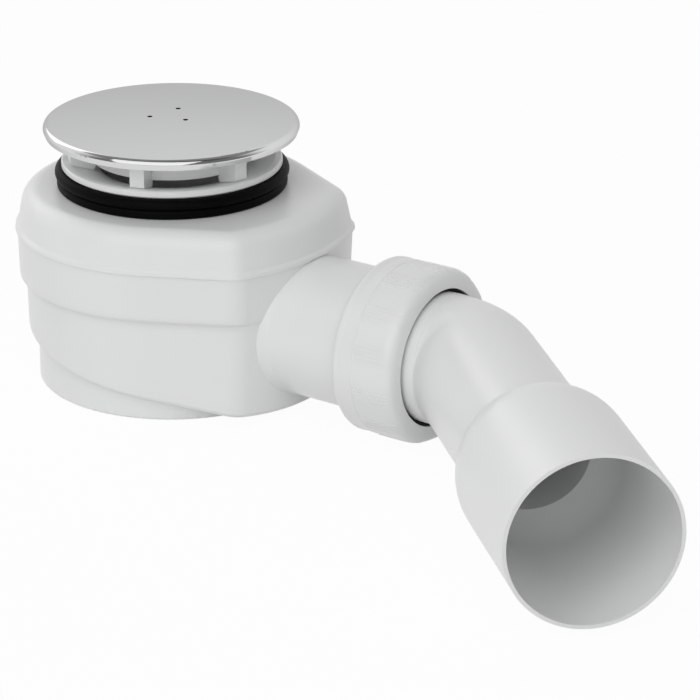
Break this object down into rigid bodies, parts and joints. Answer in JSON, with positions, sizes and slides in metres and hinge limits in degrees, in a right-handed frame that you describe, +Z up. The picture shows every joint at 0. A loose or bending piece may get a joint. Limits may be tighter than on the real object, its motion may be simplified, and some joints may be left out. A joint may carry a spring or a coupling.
{
  "type": "shower trap",
  "caption": "Low shower waste trap: domed chrome cap over a ribbed inlet, drum body with a bowed outlet end, union nut and swivelling outlet elbow.",
  "frame": {"origin": "centre of the cup's base on the floor, on the waste axis", "axes": "+Z up along the waste axis, +X along the outlet spigot, the stored elbow turns towards -Y"},
  "size_m": [0.2697, 0.1505, 0.0831],
  "materials": {
    "chrome": "bright chrome plate",
    "white_plastic": "smooth moulded white polypropylene",
    "black_rubber": "matt black rubber"
  },
  "bodies": {
    "trap": {"tub": "white_plastic", "body_cover": "white_plastic", "lower_gasket": "black_rubber", "upper_gasket": "black_rubber", "waste_flange": "white_plastic", "dip_tube": "white_plastic", "dip_tube_seal": "black_rubber", "cap_carrier": "white_plastic", "cover_cap": "chrome", "outlet_seal": "black_rubber"},
    "nut": {"outlet_nut": "white_plastic"},
    "elbow": {"outlet_elbow": "white_plastic"}
  },
  "joints": [
    {"name": "elbow_swivel", "type": "hinge", "parent": "trap", "child": "elbow", "pos_m": [0.0929, 0, 0.0268], "axis": [1, 0, 0], "continuous": true},
    {"name": "nut_turn", "type": "hinge", "parent": "trap", "child": "nut", "pos_m": [0.0893, 0, 0.0268], "axis": [1, 0, 0], "continuous": true}
  ]
}
